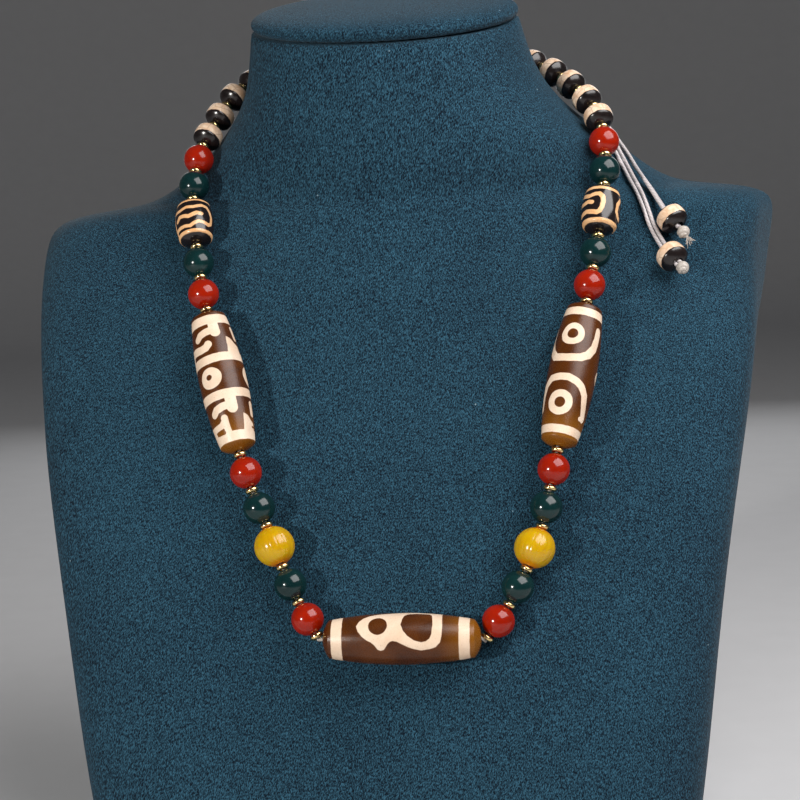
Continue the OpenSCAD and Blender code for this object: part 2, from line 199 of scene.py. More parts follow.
def spinOutline(outline, turns, name):
    bm = bmesh.new()
    verts = [bm.verts.new((r * mm, 0, z * mm)) for r, z in outline]
    edges = [bm.edges.new((verts[i], verts[(i + 1) % len(verts)])) for i in range(len(verts))]
    bmesh.ops.spin(bm, geom=verts + edges, cent=(0, 0, 0), axis=(0, 0, 1), angle=2 * math.pi,
                   steps=turns, use_merge=True)
    bmesh.ops.recalc_face_normals(bm, faces=bm.faces)
    mesh = bpy.data.meshes.new(name)
    bm.to_mesh(mesh)
    bm.free()
    return mesh


def joined(meshes, name):
    bm = bmesh.new()
    for mesh in meshes:
        bm.from_mesh(mesh)
    out = bpy.data.meshes.new(name)
    bm.to_mesh(out)
    bm.free()
    return out


# node helpers

def linear(r, g, b):
    return [((c / 255 + 0.055) / 1.055) ** 2.4 if c > 10 else c / 255 / 12.92 for c in (r, g, b)] + [1.0]


def newMaterial(name, values):
    material = bpy.data.materials.new(name)
    material.use_nodes = True
    tree = material.node_tree
    shader = tree.nodes["Principled BSDF"]
    for socket, value in values.items():
        shader.inputs[socket].default_value = value
    return material, tree, shader


def put(tree, kind, settings=None, values=None):
    node = tree.nodes.new(kind)
    for key, value in (settings or {}).items():
        setattr(node, key, value)
    for key, value in (values or {}).items():
        node.inputs[key].default_value = value
    return node


def wire(tree, source, target):
    tree.links.new(source, target)


def maths(tree, operation, a, b=None, c=None):
    node = put(tree, "ShaderNodeMath", {"operation": operation})
    for i, part in enumerate((a, b, c)):
        if part is None:
            continue
        if isinstance(part, (int, float)):
            node.inputs[i].default_value = part
        else:
            wire(tree, part, node.inputs[i])
    return node.outputs[0]


def blendColours(tree, mask, a, b):
    node = put(tree, "ShaderNodeMix", {"data_type": "RGBA"})
    wire(tree, mask, node.inputs[0])
    for part, socket in ((a, node.inputs[6]), (b, node.inputs[7])):
        if isinstance(part, (list, tuple)):
            socket.default_value = part
        else:
            wire(tree, part, socket)
    return node.outputs[2]


def bumpFrom(tree, height, strength, distance):
    node = put(tree, "ShaderNodeBump", None, {"Strength": strength, "Distance": distance})
    wire(tree, height, node.inputs["Height"])
    return node.outputs["Normal"]


def newGroup(name, inputs, outputs):
    group = bpy.data.node_groups.new(name, "ShaderNodeTree")
    for label, kind, value in inputs:
        group.interface.new_socket(label, in_out="INPUT", socket_type=kind).default_value = value
    for label, kind in outputs:
        group.interface.new_socket(label, in_out="OUTPUT", socket_type=kind)
    return group, group.nodes.new("NodeGroupInput"), group.nodes.new("NodeGroupOutput")


def makeLineMask():
    # 1 inside a pattern's edge and 0 outside it, with a slightly unsteady border
    group, entry, leave = newGroup(
        "lineMask",
        [("Edge", "NodeSocketFloat", 0.0), ("Waver", "NodeSocketFloat", 0.15),
         ("Softness", "NodeSocketFloat", 0.07)],
        [("Mask", "NodeSocketFloat")])
    where = put(group, "ShaderNodeTexCoord")
    wobble = put(group, "ShaderNodeTexNoise", None, {"Scale": 650, "Detail": 2})
    wire(group, where.outputs["Object"], wobble.inputs["Vector"])
    shift = maths(group, "MULTIPLY", maths(group, "SUBTRACT", wobble.outputs[0], 0.5), entry.outputs["Waver"])
    moved = maths(group, "ADD", entry.outputs["Edge"], shift)
    share = maths(group, "DIVIDE", moved, entry.outputs["Softness"])
    inside = put(group, "ShaderNodeMapRange", {"interpolation_type": "SMOOTHSTEP"},
                 {"From Min": 1.0, "From Max": -1.0})
    wire(group, share, inside.inputs["Value"])
    wire(group, inside.outputs[0], leave.inputs["Mask"])
    return group


def makeClouds():
    # broad clouds of a stone's colour, and fine specks
    group, entry, leave = newGroup(
        "stoneClouds",
        [("Size", "NodeSocketFloat", 150.0), ("Contrast", "NodeSocketFloat", 1.0)],
        [("Mask", "NodeSocketFloat"), ("Speck", "NodeSocketFloat")])
    where = put(group, "ShaderNodeTexCoord")
    broad = put(group, "ShaderNodeTexNoise", None, {"Detail": 5, "Roughness": 0.6, "Distortion": 0.8})
    wire(group, where.outputs["Object"], broad.inputs["Vector"])
    wire(group, entry.outputs["Size"], broad.inputs["Scale"])
    centred = maths(group, "SUBTRACT", broad.outputs[0], 0.5)
    spread = maths(group, "ADD", maths(group, "MULTIPLY", centred, entry.outputs["Contrast"]), 0.5)
    wire(group, maths(group, "MINIMUM", maths(group, "MAXIMUM", spread, 0.0), 1.0), leave.inputs["Mask"])
    fine = put(group, "ShaderNodeTexNoise", None, {"Scale": 3600, "Detail": 3, "Roughness": 0.7})
    wire(group, where.outputs["Object"], fine.inputs["Vector"])
    wire(group, fine.outputs[0], leave.inputs["Speck"])
    return group


lineMask = makeLineMask()
stoneClouds = makeClouds()


def useGroup(tree, group, values):
    node = put(tree, "ShaderNodeGroup", {"node_tree": group})
    for key, value in values.items():
        node.inputs[key].default_value = value
    return node


def attributeOf(tree, name):
    return put(tree, "ShaderNodeAttribute", {"attribute_name": name}).outputs["Fac"]


def wireRoughness(tree, shader, value, smooth, rough):
    spread = put(tree, "ShaderNodeMapRange", None, {"To Min": smooth, "To Max": rough})
    wire(tree, value, spread.inputs["Value"])
    wire(tree, spread.outputs[0], shader.inputs["Roughness"])


# materials

clothLook = {
    "light": linear(47, 86, 106),
    "dark": linear(2, 12, 24),
    "threads": 4600,           # per metre
    "long": 3.2,               # how far a thread's fleck is drawn out upwards
    "lean": 14,                # degrees, the lean of the twill
    "cross": 0.2,              # share of the finer crossing threads
    "darkest": 0.38, "lightest": 0.64,
    "patches": 30, "patchDepth": 0.3,
    "deepen": 1.5,             # draws the middle tones towards the dark one
    "lint": linear(140, 165, 176), "lintSpecks": 95, "lintStrength": 0.6,
    "relief": 0.0002,
}


def makeCloth(look):
    material, tree, shader = newMaterial("bustCloth", {
        "Roughness": 0.92, "Sheen Weight": 0.05, "Sheen Roughness": 0.5, "Specular IOR Level": 0.1})
    where = put(tree, "ShaderNodeTexCoord").outputs["Object"]
    leant = put(tree, "ShaderNodeMapping")
    leant.vector_type = "TEXTURE"
    leant.inputs["Rotation"].default_value = (0, math.radians(look["lean"]), 0)
    leant.inputs["Scale"].default_value = (1, 1, look["long"])
    wire(tree, where, leant.inputs["Vector"])
    fleck = put(tree, "ShaderNodeTexNoise", None, {"Scale": look["threads"], "Detail": 1.5, "Roughness": 0.55})
    wire(tree, leant.outputs[0], fleck.inputs["Vector"])
    cross = put(tree, "ShaderNodeTexNoise", None, {"Scale": look["threads"] * 1.6, "Detail": 1})
    wire(tree, where, cross.inputs["Vector"])
    height = maths(tree, "ADD", maths(tree, "MULTIPLY", fleck.outputs[0], 1 - look["cross"]),
                   maths(tree, "MULTIPLY", cross.outputs[0], look["cross"]))
    tone = put(tree, "ShaderNodeMapRange", None, {"From Min": look["darkest"], "From Max": look["lightest"]})
    wire(tree, height, tone.inputs["Value"])
    patches = put(tree, "ShaderNodeTexNoise", None, {"Scale": look["patches"], "Detail": 3})
    wire(tree, where, patches.inputs["Vector"])
    uneven = maths(tree, "MULTIPLY", maths(tree, "SUBTRACT", patches.outputs[0], 0.5), look["patchDepth"])
    shade = maths(tree, "MAXIMUM", maths(tree, "ADD", tone.outputs[0], uneven), 0.0)
    colour = blendColours(tree, maths(tree, "POWER", shade, look["deepen"]), look["dark"], look["light"])
    lint = put(tree, "ShaderNodeTexVoronoi", None, {"Scale": look["lintSpecks"]})
    wire(tree, where, lint.inputs["Vector"])
    few = put(tree, "ShaderNodeMapRange", None, {"From Min": 0.024, "From Max": 0.015})
    wire(tree, lint.outputs["Distance"], few.inputs["Value"])
    specks = maths(tree, "MULTIPLY", few.outputs[0], look["lintStrength"])
    colour = blendColours(tree, specks, colour, look["lint"])
    wire(tree, colour, shader.inputs["Base Color"])
    wire(tree, bumpFrom(tree, height, 0.7, look["relief"]), shader.inputs["Normal"])
    return material


# cloudSize counts a stone's clouds per metre; smooth and rough are the ends of its roughness
redLook = {
    "light": linear(156, 30, 5), "dark": linear(126, 18, 3), "cloudSize": 110.0, "smooth": 0.09, "rough": 0.2,
    "glow": {"Subsurface Weight": 0.15, "Subsurface Radius": (1.0, 0.2, 0.05), "Subsurface Scale": 0.001},
}
greenLook = {
    "light": linear(13, 46, 46), "dark": linear(5, 27, 29), "cloudSize": 130.0, "smooth": 0.09, "rough": 0.2,
    "glow": {},
}


def makeAgate(name, look):
    values = dict({"Specular IOR Level": 0.36, "IOR": 1.54}, **look["glow"])
    material, tree, shader = newMaterial(name, values)
    clouds = useGroup(tree, stoneClouds, {"Size": look["cloudSize"], "Contrast": 1.5})
    colour = blendColours(tree, clouds.outputs["Mask"], look["dark"], look["light"])
    wire(tree, colour, shader.inputs["Base Color"])
    wireRoughness(tree, shader, clouds.outputs["Speck"], look["smooth"], look["rough"])
    return material


yellowLook = {
    "light": linear(192, 160, 2), "dark": linear(184, 136, 1), "cloudSize": 210.0, "smooth": 0.12, "rough": 0.3,
    # the orange towards the hole ends is painted shade: it stands in for the deeper colour that light takes
    # through more glass at the bead's edges
    "paintedTipShade": linear(196, 104, 3), "paintedTipShadeStrength": 0.8,
    "paintedTipShadeStart": 3.4, "paintedTipShadeFull": 4.9,    # millimetres from the middle
    "glow": {"Subsurface Weight": 0.55, "Subsurface Radius": (1.0, 0.6, 0.03), "Subsurface Scale": 0.0025},
}


def makeYellow(look):
    material, tree, shader = newMaterial("yellowGlass", dict({"IOR": 1.5}, **look["glow"]))
    clouds = useGroup(tree, stoneClouds, {"Size": look["cloudSize"], "Contrast": 1.6})
    body = blendColours(tree, clouds.outputs["Mask"], look["dark"], look["light"])
    # painted shade: the colour turns orange towards the hole ends
    paintedTipShadeMask = put(tree, "ShaderNodeMapRange", {"interpolation_type": "SMOOTHSTEP"},
                   {"From Min": look["paintedTipShadeStart"], "From Max": look["paintedTipShadeFull"], "To Max": look["paintedTipShadeStrength"]})
    wire(tree, maths(tree, "ABSOLUTE", attributeOf(tree, "along")), paintedTipShadeMask.inputs["Value"])
    wire(tree, blendColours(tree, paintedTipShadeMask.outputs[0], body, look["paintedTipShade"]), shader.inputs["Base Color"])
    wireRoughness(tree, shader, clouds.outputs["Speck"], look["smooth"], look["rough"])
    return material


brownLook = {
    "dark": linear(58, 25, 4), "light": linear(102, 54, 12), "cloudSize": 130.0,
    "end": linear(122, 74, 12), "endStart": 8.0, "endFull": 18.0,    # millimetres from the middle
    "cream": linear(233, 213, 192), "creamDark": linear(211, 181, 153),
    "speck": 0.6, "speckColour": linear(40, 18, 4), "pores": linear(176, 132, 100),
    "waver": 0.22, "softness": 0.09, "smooth": 0.2, "rough": 0.42, "grain": 0.8,
}
drumLook = {
    "dark": linear(14, 10, 10), "light": linear(30, 22, 22), "cloudSize": 260.0,
    "cream": linear(230, 188, 142), "creamDark": linear(210, 154, 100),
    "speck": 0.2, "speckColour": linear(50, 40, 40), "pores": linear(170, 104, 60),
    "waver": 0.2, "softness": 0.09, "smooth": 0.1, "rough": 0.24, "grain": 0.2,
}


def makeEtched(name, look, values):
    material, tree, shader = newMaterial(name, dict({"IOR": 1.54}, **values))
    line = useGroup(tree, lineMask, {"Waver": look["waver"], "Softness": look["softness"]})
    wire(tree, attributeOf(tree, "lineEdge"), line.inputs["Edge"])
    clouds = useGroup(tree, stoneClouds, {"Size": look["cloudSize"], "Contrast": 1.8})
    body = blendColours(tree, clouds.outputs["Mask"], look["dark"], look["light"])
    speck = put(tree, "ShaderNodeMapRange", None, {"From Min": 0.35, "From Max": 0.7, "To Max": look["speck"]})
    wire(tree, clouds.outputs["Speck"], speck.inputs["Value"])
    body = blendColours(tree, speck.outputs[0], body, look["speckColour"])
    if "end" in look:
        nearEnd = put(tree, "ShaderNodeMapRange", {"interpolation_type": "SMOOTHSTEP"},
                      {"From Min": look["endStart"], "From Max": look["endFull"]})
        wire(tree, maths(tree, "MULTIPLY", attributeOf(tree, "along"), -1.0), nearEnd.inputs["Value"])
        body = blendColours(tree, nearEnd.outputs[0], body, look["end"])
    cream = blendColours(tree, clouds.outputs["Mask"], look["creamDark"], look["cream"])
    pores = put(tree, "ShaderNodeMapRange", None, {"From Min": 0.42, "From Max": 0.3, "To Max": 0.55})
    wire(tree, clouds.outputs["Speck"], pores.inputs["Value"])
    cream = blendColours(tree, pores.outputs[0], cream, look["pores"])
    wire(tree, blendColours(tree, line.outputs["Mask"], body, cream), shader.inputs["Base Color"])
    dull = maths(tree, "ADD", maths(tree, "MULTIPLY", clouds.outputs["Speck"], 0.7),
                 maths(tree, "MULTIPLY", line.outputs["Mask"], 0.25))
    wireRoughness(tree, shader, dull, look["smooth"], look["rough"])
    height = maths(tree, "ADD", maths(tree, "MULTIPLY", clouds.outputs["Speck"], look["grain"]),
                   maths(tree, "MULTIPLY", line.outputs["Mask"], 0.5))
    wire(tree, bumpFrom(tree, height, 0.4, 0.0001), shader.inputs["Normal"])
    return material


bandedLook = {
    "cream": linear(238, 216, 192), "creamDark": linear(206, 164, 128), "vein": linear(120, 72, 44),
    "light": linear(34, 25, 24), "dark": linear(12, 9, 9), "cloudSize": 420.0, "smooth": 0.12, "rough": 0.3,
    "bandAt": 0.25, "bandHalf": 1.4,    # millimetres along the bead
}


def makeBanded(look):
    material, tree, shader = newMaterial("bandedBlack", {"IOR": 1.54})
    along = attributeOf(tree, "along")
    line = useGroup(tree, lineMask, {"Waver": 0.5, "Softness": 0.12})
    fromBand = maths(tree, "ABSOLUTE", maths(tree, "SUBTRACT", along, look["bandAt"]))
    wire(tree, maths(tree, "SUBTRACT", fromBand, look["bandHalf"]), line.inputs["Edge"])
    clouds = useGroup(tree, stoneClouds, {"Size": look["cloudSize"], "Contrast": 2.6})
    cream = blendColours(tree, clouds.outputs["Mask"], look["creamDark"], look["cream"])
    where = put(tree, "ShaderNodeTexCoord").outputs["Object"]
    crack = put(tree, "ShaderNodeTexVoronoi", {"feature": "DISTANCE_TO_EDGE"}, {"Scale": 420})
    wire(tree, where, crack.inputs["Vector"])
    vein = put(tree, "ShaderNodeMapRange", None, {"From Min": 0.07, "From Max": 0.0, "To Max": 0.7})
    wire(tree, crack.outputs["Distance"], vein.inputs["Value"])
    thin = maths(tree, "MULTIPLY", vein.outputs[0], clouds.outputs["Mask"])
    cream = blendColours(tree, thin, cream, look["vein"])
    black = blendColours(tree, clouds.outputs["Mask"], look["dark"], look["light"])
    wire(tree, blendColours(tree, line.outputs["Mask"], black, cream), shader.inputs["Base Color"])
    wireRoughness(tree, shader, clouds.outputs["Speck"], look["smooth"], look["rough"])
    return material


goldLook = {
    "light": linear(246, 222, 164), "dark": linear(222, 184, 116), "cloudSize": 900.0,
    "smooth": 0.1, "rough": 0.26,
}


def makeGold(look):
    material, tree, shader = newMaterial("paleGold", {"Metallic": 1.0})
    clouds = useGroup(tree, stoneClouds, {"Size": look["cloudSize"], "Contrast": 1.5})
    colour = blendColours(tree, clouds.outputs["Mask"], look["dark"], look["light"])
    wire(tree, colour, shader.inputs["Base Color"])
    wireRoughness(tree, shader, clouds.outputs["Speck"], look["smooth"], look["rough"])
    return material


# turns and lean lay the plies round a cord; twist is how deep the grooves between them look, both in relief and
# as painted shade that darkens the grooves
silverLook = {"light": linear(196, 188, 188), "dark": linear(92, 86, 88),
              "turns": 90.0, "lean": 3.0, "twist": 0.35}
wrapLook = {"light": linear(178, 170, 162), "dark": linear(70, 62, 58),
            "turns": 0.0, "lean": 3.0, "twist": 0.0}


def makeCordLook(name, look):
    material, tree, shader = newMaterial(name, {"Roughness": 0.38, "Specular IOR Level": 0.6})
    where = put(tree, "ShaderNodeUVMap")
    parts = put(tree, "ShaderNodeSeparateXYZ")
    wire(tree, where.outputs[0], parts.inputs[0])
    phase = maths(tree, "ADD", maths(tree, "MULTIPLY", parts.outputs[0], look["turns"]),
                  maths(tree, "MULTIPLY", parts.outputs[1], look["lean"]))
    wave = maths(tree, "ABSOLUTE", maths(tree, "SINE", maths(tree, "MULTIPLY", phase, math.pi)))
    ply = maths(tree, "ADD", maths(tree, "MULTIPLY", wave, look["twist"]), 1.0 - look["twist"])
    fibre = put(tree, "ShaderNodeTexNoise", None, {"Scale": 6000, "Detail": 3})
    wire(tree, put(tree, "ShaderNodeTexCoord").outputs["Object"], fibre.inputs["Vector"])
    height = maths(tree, "ADD", ply, maths(tree, "MULTIPLY", fibre.outputs[0], 0.4))
    # painted shade: the grooves between the plies are coloured darker, and the fibre noise varies the tone at
    # random
    lit = maths(tree, "MULTIPLY", ply, maths(tree, "ADD", fibre.outputs[0], 0.4))
    wire(tree, blendColours(tree, lit, look["dark"], look["light"]), shader.inputs["Base Color"])
    wire(tree, bumpFrom(tree, height, 0.7, 0.0001), shader.inputs["Normal"])
    return material


clothMaterial = makeCloth(clothLook)
redAgate = makeAgate("redAgate", redLook)
greenAgate = makeAgate("greenAgate", greenLook)
yellowGlass = makeYellow(yellowLook)
brownDzi = makeEtched("brownDzi", brownLook, {"Specular IOR Level": 0.3})
blackDrum = makeEtched("blackDrum", drumLook, {})
bandedBlack = makeBanded(bandedLook)
paleGold = makeGold(goldLook)
silverCord = makeCordLook("silverCord", silverLook)
wrapCord = makeCordLook("wrapCord", wrapLook)
print("stage: materials made")


# bust

# base, seam and top: how sharp the rims of the two forms stay
bustShape = {"levels": 2, "flatAngle": math.radians(0.1), "joinAngle": math.radians(50), "base": 1.0, "seam": 0.8,
             "top": 0.0}


def clothForm(node, name, topCrease, bottomCrease):
    bm = bmesh.new()
    bm.from_mesh(nodes[node].data)
    bmesh.ops.remove_doubles(bm, verts=bm.verts, dist=1e-6)
    bmesh.ops.dissolve_limit(bm, angle_limit=bustShape["flatAngle"], verts=bm.verts, edges=bm.edges,
                             use_dissolve_boundaries=False)
    ends = [f for f in bm.faces if len(f.verts) > 8]    # the flat top and bottom
    bmesh.ops.join_triangles(bm, faces=[f for f in bm.faces if len(f.verts) == 3],
                             angle_face_threshold=bustShape["joinAngle"],
                             angle_shape_threshold=bustShape["joinAngle"])
    crease = bm.edges.layers.float.new("crease_edge")
    for face in ends:
        for edge in face.edges:
            edge[crease] = topCrease if face.normal.z > 0 else bottomCrease
    mesh = bpy.data.meshes.new(name)
    bm.to_mesh(mesh)
    bm.free()
    piece = linkPiece(name, mesh, clothMaterial, [node])
    subdivide = piece.modifiers.new("smooth", "SUBSURF")
    subdivide.levels = subdivide.render_levels = bustShape["levels"]


clothForm("bust_body", "bust_body_cloth", bustShape["seam"], bustShape["base"])
clothForm("bust_cap", "bust_cap_cloth", bustShape["top"], bustShape["seam"])
print("stage: bust covered")


# beads, all sizes in millimetres

roundBead = {"thick": 8.0, "hole": 1.9, "rings": 40, "turns": 64}
melonBead = {"thick": 10.0, "length": 9.5, "hole": 1.9, "rings": 72, "turns": 256, "lobes": 16, "groove": 0.08,
             "power": 0.6, "fade": 2.5}
centreDzi = {"length": 38.4, "thick": 12.4, "end": 0.68 * 12.4, "dome": 7.0, "hole": 1.9, "rings": 250,
             "turns": 168, "even": 0.65}
sideDzi = dict(centreDzi, thick=12.0, end=0.68 * 12.0)
drumDzi = {"length": 13.5, "thick": 10.0, "end": 7.4, "dome": 6.4, "hole": 1.9, "rings": 130, "turns": 168,
           "even": 0.65}
stripedBead = {"length": 6.6, "thick": 7.7, "end": 0.8 * 7.7, "dome": 4.8, "hole": 1.9, "rings": 44, "turns": 64}
tailBead = dict(stripedBead, hole=2.9)

# Dzi patterns in millimetres along the bead from its first tip, and degrees round it from the middle of the
# side that faces the front. Past 90 degrees the pattern comes back mirrored.
gourd = [(8.6, 32), (9.1, 44), (10.2, 57), (11.9, 67), (14.0, 73), (16.7, 76), (18.8, 80), (21.5, 86), (23.6, 96),
         (29.0, 96), (29.2, 35), (29.1, 6), (28.7, -9), (27.7, -20), (26.2, -25), (24.4, -27), (22.6, -24),
         (20.9, -18), (19.4, -11), (18.4, -6), (17.5, -4), (16.7, -7), (16.3, -11), (15.8, -18), (15.3, -25),
         (14.6, -27), (13.9, -25), (13.5, -20), (13.0, -14), (12.3, -8), (11.1, -2), (10.0, 7), (9.1, 18)]
gourdWindow = [(19.3, 32), (19.6, 48), (20.1, 61), (21.0, 70), (22.8, 74), (25.9, 75), (26.7, 66), (26.9, 33),
               (26.7, 11), (26.2, 0), (25.4, -6), (24.2, -8), (22.6, -4), (21.0, 6), (20.0, 17)]
centrePattern = {
    "bands": [(2.45, 5.1), (33.1, 35.7)],
    "areas": [gourd],
    "windows": [gourdWindow],
    "dots": [(13.8, 32, 2.25)],
}
hook = {
    "drop": [(4.0, 8), (7.5, 9)], "dropWide": 1.4,
    "upper": [(6.9, 6), (7.1, -17), (7.5, -35), (8.3, -45)], "upperWide": 1.0,
    "tooth": [(9.0, 36), (9.6, 49), (10.8, 60), (11.6, 74), (13.8, 76), (13.8, 30), (11.9, 33)],
    "edge": [(6.6, 71), (9.3, 72)], "edgeWide": 0.8,
}


def shifted(points, by):
    return [(u + by, angle) for u, angle in points]


leftPattern = {
    "bands": [(2.4, 5.0), (13.5, 15.8), (23.4, 25.7), (34.3, 36.7)],
    "areas": [hook["tooth"], shifted(hook["tooth"], 21.0)],
    "lines": [
        (hook["dropWide"], hook["drop"]),
        (hook["upperWide"], hook["upper"]),
        (hook["edgeWide"], hook["edge"]),
        (1.05, [(10.6, -17), (11.3, -24), (11.5, -38), (11.2, -60), (11.4, -88)]),
        (1.2, [(11.0, -86), (15.0, -86)]),
        (hook["dropWide"], shifted(hook["drop"], 20.9)),
        (hook["upperWide"], shifted(hook["upper"], 20.6)),
        (hook["edgeWide"], shifted(hook["edge"], 20.8)),
        (0.95, [(30.7, -19), (32.5, -19), (34.8, -16)]),
        (0.8, [(31.4, -20), (32.3, -34), (32.5, -60), (32.4, -88)]),
        (1.3, [(33.0, -76), (35.0, -76)]),
    ],
    "cuts": [(0.5, [(34.0, -53), (34.1, -31)]), (0.3, [(33.5, 66), (33.6, 80)])],
    "discs": [(19.6, -29, 2.8), (19.8, 91, 2.9)],
    "dots": [(19.3, -32, 0.75), (19.8, 91, 0.7)],
}
rightPattern = {
    "bands": [(2.6, 4.8), (34.1, 36.1)],
    "lines": [
        (0.98, [(9.0, -89), (12.6, -84), (15.2, -70), (16.7, -54), (16.9, -39), (16.9, -16), (16.4, 12),
                (15.2, 30), (12.9, 44), (10.6, 50), (7.9, 55)]),
        (0.92, [(30.0, -82), (27.2, -79), (24.3, -71), (22.4, -52), (22.0, -28), (22.0, -7), (22.7, 14),
               (23.8, 30), (25.6, 43), (28.6, 51), (31.2, 58)]),
        (0.6, [(31.0, 57), (31.4, 48)]),
    ],
    "discs": [(10.3, -19, 3.0), (28.6, -18, 3.2), (19.4, 92, 1.9)],
    "dots": [(10.3, -19, 1.35), (28.6, -18, 1.35)],
}
leftDrumPattern = {
    "bands": [(1.95, 2.5), (11.3, 12.1)],
    "lines": [
        (0.46, [(4.6, -88), (4.9, -45), (4.5, -23), (4.8, -1), (4.1, 28), (4.4, 45), (5.7, 55), (7.2, 61),
                (9.2, 58), (9.8, 46), (9.4, 30), (9.2, 13), (9.8, -3), (10.4, -15), (10.1, -35), (10.0, -59),
                (10.2, -74)]),
        (0.55, [(7.7, -61), (6.9, -49), (7.1, -32), (7.6, -18), (7.2, -5), (6.7, 9), (6.9, 22)]),
        (0.42, [(4.6, -85), (6.9, -82), (9.0, -80), (10.9, -78)]),
    ],
}
rightDrumPattern = {
    "bands": [(2.0, 2.9), (11.3, 12.3)],
    "lines": [
        (0.58, [(3.9, -86), (5.0, -43), (4.6, -24), (4.5, -10), (5.4, 1), (6.8, 4), (8.5, 1), (9.6, -5),
                (10.0, -14), (9.7, -30), (9.4, -49), (9.8, -83)]),
        (0.58, [(6.7, -88), (6.9, -59), (6.7, -43), (7.0, -31)]),
        (0.5, [(4.0, 73), (6.3, 54), (8.4, 53), (9.5, 67), (9.6, 92)]),
    ],
}


def toSegments(p, points):
    # distance from each point to a line of segments
    best = np.full(len(p), 1e9)
    for a, b in zip(points[:-1], points[1:]):
        a, b = np.array(a), np.array(b)
        ab = b - a
        t = np.clip(((p - a) @ ab) / (ab @ ab), 0, 1)
        best = np.minimum(best, np.linalg.norm(p - a - t[:, None] * ab, axis=1))
    return best


def insideOf(p, corners):
    inside = np.zeros(len(p), bool)
    for (ax, ay), (bx, by) in zip(corners, corners[1:] + corners[:1]):
        crosses = (ay > p[:, 1]) != (by > p[:, 1])
        at = (bx - ax) * (p[:, 1] - ay) / (by - ay if by != ay else 1e-9) + ax
        inside ^= crosses & (p[:, 0] < at)
    return inside


def areaEdge(p, corners):
    away = toSegments(p, corners + corners[:1])
    return np.where(insideOf(p, corners), -away, away)


def edgeOfPattern(co, size, pattern):
    u = size["length"] / 2 - co[:, 2] / mm
    angle = np.arctan2(co[:, 1], co[:, 0])
    angle = np.where(angle > math.pi / 2, math.pi - angle, angle)
    angle = np.where(angle < -math.pi / 2, -math.pi - angle, angle)
    roundR = 0.46 * size["thick"]    # mean radius, which turns degrees into millimetres
    scale = math.radians(1) * roundR
    p = np.stack([u, angle * roundR], axis=1)

    def flat(points):
        return [(a, b * scale) for a, b in points]

    edge = np.full(len(p), 9.0)    # below zero inside the cream, in millimetres
    for low, high in pattern.get("bands", []):
        edge = np.minimum(edge, np.abs(u - (low + high) / 2) - (high - low) / 2)
    for wide, points in pattern.get("lines", []):
        edge = np.minimum(edge, toSegments(p, flat(points)) - wide)
    for corners in pattern.get("areas", []):
        edge = np.minimum(edge, areaEdge(p, flat(corners)))
    for at, turn, r in pattern.get("discs", []):
        edge = np.minimum(edge, np.hypot(u - at, p[:, 1] - turn * scale) - r)
    for corners in pattern.get("windows", []):
        edge = np.maximum(edge, -areaEdge(p, flat(corners)))
    for at, turn, r in pattern.get("dots", []):
        edge = np.maximum(edge, r - np.hypot(u - at, p[:, 1] - turn * scale))
    for wide, points in pattern.get("cuts", []):
        edge = np.maximum(edge, wide - toSegments(p, flat(points)))
    return edge


def addBead(node, outline, size, material, towards=(0, 0, 1), pattern=None, shape=None):
    meshes = []
    for middle, axis in solidsOf(node):
        mesh = spinOutline(outline, size["turns"], node + "_bead")
        if shape:
            shape(mesh, size)
        co = pointsOf(mesh)
        addValue(mesh, "along", co[:, 2] / mm)
        if pattern:
            addValue(mesh, "lineEdge", edgeOfPattern(co, size, pattern))
        mesh.transform(facingMatrix(middle, axis, Vector(towards)))
        meshes.append(mesh)
    whole = meshes[0] if len(meshes) == 1 else joined(meshes, node + "_beads")
    return linkPiece(node + "_bead", whole, material, [node])


def carveMelon(mesh, size):
    co = pointsOf(mesh)
    r = np.hypot(co[:, 0], co[:, 1]) / mm
    angle = np.arctan2(co[:, 1], co[:, 0])
    fade = np.clip((r - size["hole"] / 2) / size["fade"], 0, 1)
    groove = size["groove"] * (1 - np.abs(np.cos(angle * size["lobes"] / 2)) ** size["power"]) * fade
    share = (r - groove) / r
    co[:, 0] *= share
    co[:, 1] *= share
    setPoints(mesh, co)


roundOutline = ballOutline(roundBead)
for side in ("left", "right"):
    for number in (1, 2, 3, 4):
        addBead(f"red_{side}_{number}", roundOutline, roundBead, redAgate)
        addBead(f"green_{side}_{number}", roundOutline, roundBead, greenAgate)
    addBead(f"yellow_{side}", ballOutline(melonBead), melonBead, yellowGlass,
            shape=carveMelon)
print("stage: round beads made")

centreOutline = barrelOutline(centreDzi)
sideOutline = barrelOutline(sideDzi)
drumOutline = barrelOutline(drumDzi)
stripedOutline = barrelOutline(stripedBead)
tailOutline = barrelOutline(tailBead)
addBead("center_dzi", centreOutline, centreDzi, brownDzi, (-1, 0, 0), centrePattern)
addBead("long_dzi_left", sideOutline, sideDzi, brownDzi, pattern=leftPattern)
addBead("long_dzi_right", sideOutline, sideDzi, brownDzi, pattern=rightPattern)
addBead("drum_dzi_left", drumOutline, drumDzi, blackDrum, pattern=leftDrumPattern)
addBead("drum_dzi_right", drumOutline, drumDzi, blackDrum, pattern=rightDrumPattern)
print("stage: dzi beads made")

for node in ("striped_left_1", "striped_left_2", "striped_left_3", "striped_right_1", "striped_right_2",
             "striped_right_3", "striped_right_4", "striped_nape"):
    addBead(node, stripedOutline, stripedBead, bandedBlack)
print("stage: striped beads made")

spacerRing = {"thick": 3.4, "tall": 1.3, "hole": 1.9, "arc": 10, "turns": 40, "lip": 0.03}


def ringOutline(size):
    rim = size["tall"] / 2
    centre, hole = size["thick"] / 2 - rim, size["hole"] / 2
    lip = [(hole, rim * 0.8), (hole + size["lip"], rim * 0.97)]
    outline = list(lip)
    for k in range(size["arc"] + 1):
        t = math.pi / 2 - math.pi * k / size["arc"]
        outline.append((centre + rim * math.cos(t), rim * math.sin(t)))
    return outline + [(r, -z) for r, z in reversed(lip)]


for side in ("left", "right"):
    addBead(f"spacers_{side}", ringOutline(spacerRing), spacerRing, paleGold)
print("stage: spacers made")


# tails

